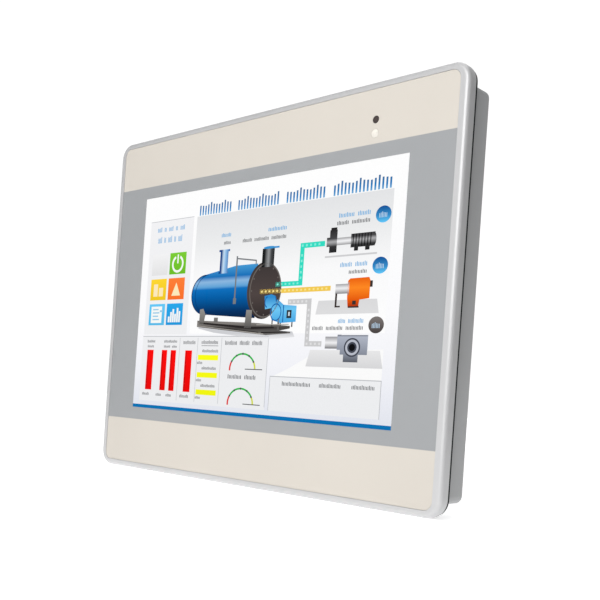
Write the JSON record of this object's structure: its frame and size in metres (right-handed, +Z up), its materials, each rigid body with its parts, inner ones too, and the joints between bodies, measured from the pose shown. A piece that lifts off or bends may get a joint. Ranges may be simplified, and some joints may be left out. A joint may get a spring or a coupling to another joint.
{
  "type": "operator touch panel",
  "caption": "flush-mounted operator touch panel with rounded bezel, printed film, wide screen, rear housing, vented cover and downward sockets",
  "frame": {"origin": "middle of the panel cut-out, on the front surface of the cabinet panel, where the gasket seats", "axes": "+X right seen from the front, +Y into the cabinet, +Z up"},
  "size_m": [0.271, 0.0383, 0.213],
  "materials": {
    "bezel_plastic": "satin silver-grey, smooth rounded rim",
    "printed_film": "satin hard-coated polyester, cream bands above and below a mid-grey band",
    "touch_glass": "clear flat glass",
    "screen": "bright white screen behind clear glass",
    "gasket_rubber": "matt black closed-cell rubber",
    "housing_plastic": "fine-textured mid-grey moulding",
    "cover_sheet": "grey powder coat, fine grain",
    "bare_sheet": "zinc-plated sheet",
    "dark_lens": "smoked lens",
    "pale_lens": "milky lens",
    "circuit_board": "green solder resist",
    "black_moulding": "black moulded nylon",
    "backlight": "white moulded frame",
    "aluminium": "extruded, natural",
    "thermal_rubber": "soft grey-blue pad",
    "terminal_green": "green moulded nylon",
    "plated_steel": "nickel plated",
    "zinc_screws": "zinc plated",
    "brass_stud": "turned brass",
    "flat_cable": "polyimide flat cable",
    "red_plastic": "red moulded switch body",
    "white_levers": "white moulded",
    "grey_button": "dark grey moulded",
    "blank_label": "blank silver-white label"
  },
  "bodies": {
    "panel": {"backlight_unit": "backlight", "battery_clip": "bare_sheet", "battery_holder": "black_moulding", "blank_label": "blank_label", "board_screws": "zinc_screws", "board_standoffs": "plated_steel", "cable_headers": "black_moulding", "chassis_plate": "bare_sheet", "chassis_screws": "zinc_screws", "coin_cell": "plated_steel", "cover_screws": "zinc_screws", "dip_switch": "red_plastic", "earth_nut": "plated_steel", "earth_stud": "brass_stud", "ethernet_jack": "plated_steel", "front_bezel": "bezel_plastic", "heat_sink": "aluminium", "housing_screws": "zinc_screws", "indicator_board": "circuit_board", "indicator_cable": "flat_cable", "lcd_cable": "flat_cable", "lcd_cell": "screen", "lcd_frame": "bare_sheet", "lcd_seal": "gasket_rubber", "main_board": "circuit_board", "overlay_film": "printed_film", "panel_gasket": "gasket_rubber", "port_plate": "bare_sheet", "power_capacitors": "aluminium", "power_terminal": "terminal_green", "processor": "black_moulding", "rear_cover": "cover_sheet", "rear_housing": "housing_plastic", "reset_switch": "black_moulding", "sensor_lens": "pale_lens", "serial_jack_screws": "plated_steel", "serial_port_a": "plated_steel", "serial_port_b": "plated_steel", "shield_can": "bare_sheet", "status_lens": "dark_lens", "thermal_pad": "thermal_rubber", "touch_cable": "flat_cable", "touch_glass": "touch_glass", "usb_client_port": "plated_steel", "usb_host_port": "plated_steel"},
    "reset_button": {"reset_button": "grey_button"},
    "dip_lever_1": {"dip_lever_1": "white_levers"},
    "dip_lever_2": {"dip_lever_2": "white_levers"},
    "dip_lever_3": {"dip_lever_3": "white_levers"},
    "dip_lever_4": {"dip_lever_4": "white_levers"},
    "terminal_screw_1": {"terminal_screw_1": "zinc_screws"},
    "wire_cage_1": {"wire_cage_1": "plated_steel"},
    "terminal_screw_2": {"terminal_screw_2": "zinc_screws"},
    "wire_cage_2": {"wire_cage_2": "plated_steel"},
    "terminal_screw_3": {"terminal_screw_3": "zinc_screws"},
    "wire_cage_3": {"wire_cage_3": "plated_steel"}
  },
  "joints": [
    {"name": "reset_press", "type": "slide", "parent": "panel", "child": "reset_button", "axis": [0, 0, 1], "range_m": [0, 0.001], "stiffness_N_per_m": 600, "springref_m": -0.0004},
    {"name": "dip_lever_1_slide", "type": "slide", "parent": "panel", "child": "dip_lever_1", "axis": [0, 1, 0], "range_m": [0, 0.0024]},
    {"name": "dip_lever_2_slide", "type": "slide", "parent": "panel", "child": "dip_lever_2", "axis": [0, 1, 0], "range_m": [0, 0.0024]},
    {"name": "dip_lever_3_slide", "type": "slide", "parent": "panel", "child": "dip_lever_3", "axis": [0, 1, 0], "range_m": [0, 0.0024]},
    {"name": "dip_lever_4_slide", "type": "slide", "parent": "panel", "child": "dip_lever_4", "axis": [0, 1, 0], "range_m": [0, 0.0024]},
    {"name": "terminal_screw_1_turn", "type": "hinge", "parent": "panel", "child": "terminal_screw_1", "pos_m": [-0.08408, 0.0188, -0.0727], "axis": [0, -1, 0], "range_deg": [0, 1080]},
    {"name": "wire_cage_1_lift", "type": "slide", "parent": "panel", "child": "wire_cage_1", "axis": [0, 1, 0], "range_m": [0, 0.0015]},
    {"name": "terminal_screw_2_turn", "type": "hinge", "parent": "panel", "child": "terminal_screw_2", "pos_m": [-0.079, 0.0188, -0.0727], "axis": [0, -1, 0], "range_deg": [0, 1080]},
    {"name": "wire_cage_2_lift", "type": "slide", "parent": "panel", "child": "wire_cage_2", "axis": [0, 1, 0], "range_m": [0, 0.0015]},
    {"name": "terminal_screw_3_turn", "type": "hinge", "parent": "panel", "child": "terminal_screw_3", "pos_m": [-0.07392, 0.0188, -0.0727], "axis": [0, -1, 0], "range_deg": [0, 1080]},
    {"name": "wire_cage_3_lift", "type": "slide", "parent": "panel", "child": "wire_cage_3", "axis": [0, 1, 0], "range_m": [0, 0.0015]}
  ],
  "couplings": [
    {"joint": "terminal_screw_1_turn", "follows": "wire_cage_1_lift", "rad_per_m": 12566},
    {"joint": "terminal_screw_2_turn", "follows": "wire_cage_2_lift", "rad_per_m": 12566},
    {"joint": "terminal_screw_3_turn", "follows": "wire_cage_3_lift", "rad_per_m": 12566}
  ]
}
